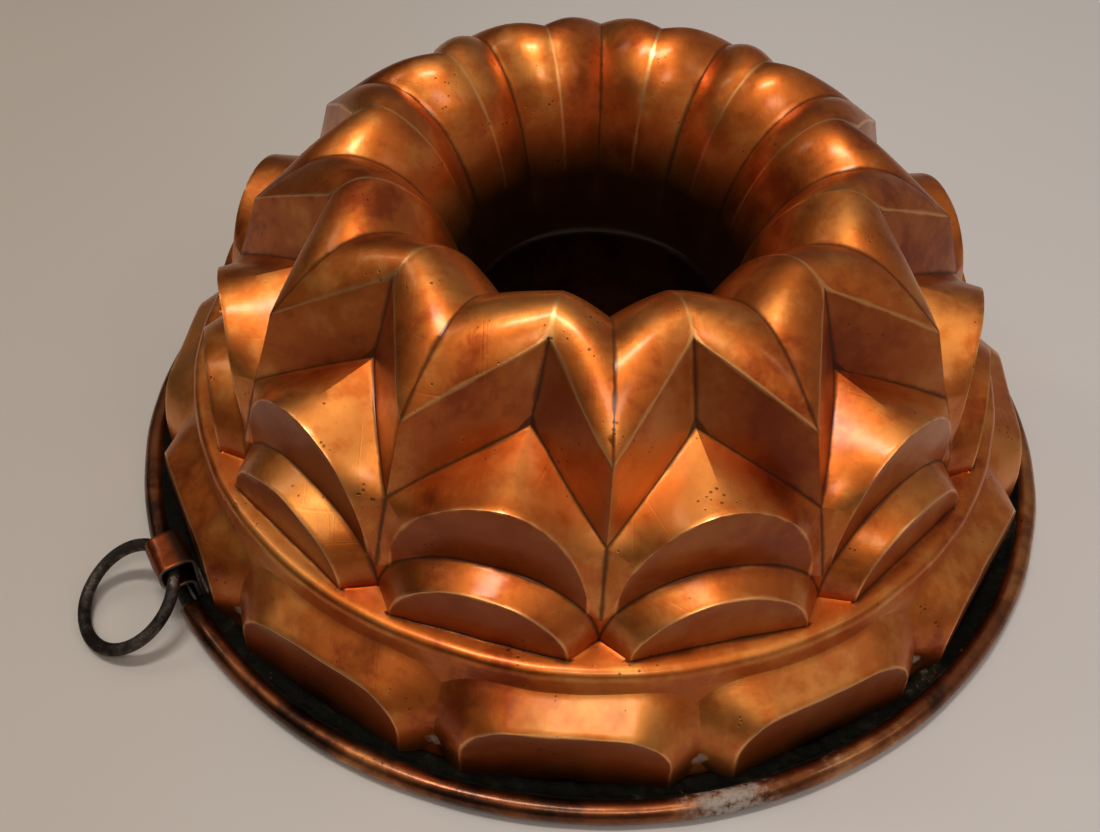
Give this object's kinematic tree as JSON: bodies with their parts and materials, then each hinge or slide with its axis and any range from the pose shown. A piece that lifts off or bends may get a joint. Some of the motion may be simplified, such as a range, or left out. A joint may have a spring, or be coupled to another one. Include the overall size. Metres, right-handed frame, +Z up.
{
  "type": "ring cake mould",
  "caption": "Fluted copper ring mould with pointed crown ridges, arched sides, scales, a plain centre tube, a rolled wired rim and a hinged hanging ring.",
  "frame": {"origin": "on the axis of the centre tube, at the level of the table the rim rests on", "axes": "+Z up through the crown, mouth down; the hanging ring lies towards -X and -Y, at azimuth -57.5 degrees from -Y towards +X"},
  "size_m": [0.242, 0.24, 0.0887],
  "materials": {
    "copper": "aged, worn copper with a dark patina",
    "iron": "dark rusted iron",
    "solder": "dull grey tin solder"
  },
  "bodies": {
    "mould": {"body_shell": "copper", "centre_tube": "copper", "tube_seam": "solder", "rim_band": "copper", "rim_wire": "iron", "rim_solder": "solder", "hanger_strap": "copper", "hanger_solder": "solder"},
    "ring": {"hanger_ring": "iron"}
  },
  "joints": [
    {"name": "ring_hinge", "type": "hinge", "parent": "mould", "child": "ring", "pos_m": [-0.09918, -0.06319, 0.0139], "axis": [-0.5373, 0.8434, 0], "range_deg": [-36, 150]}
  ]
}
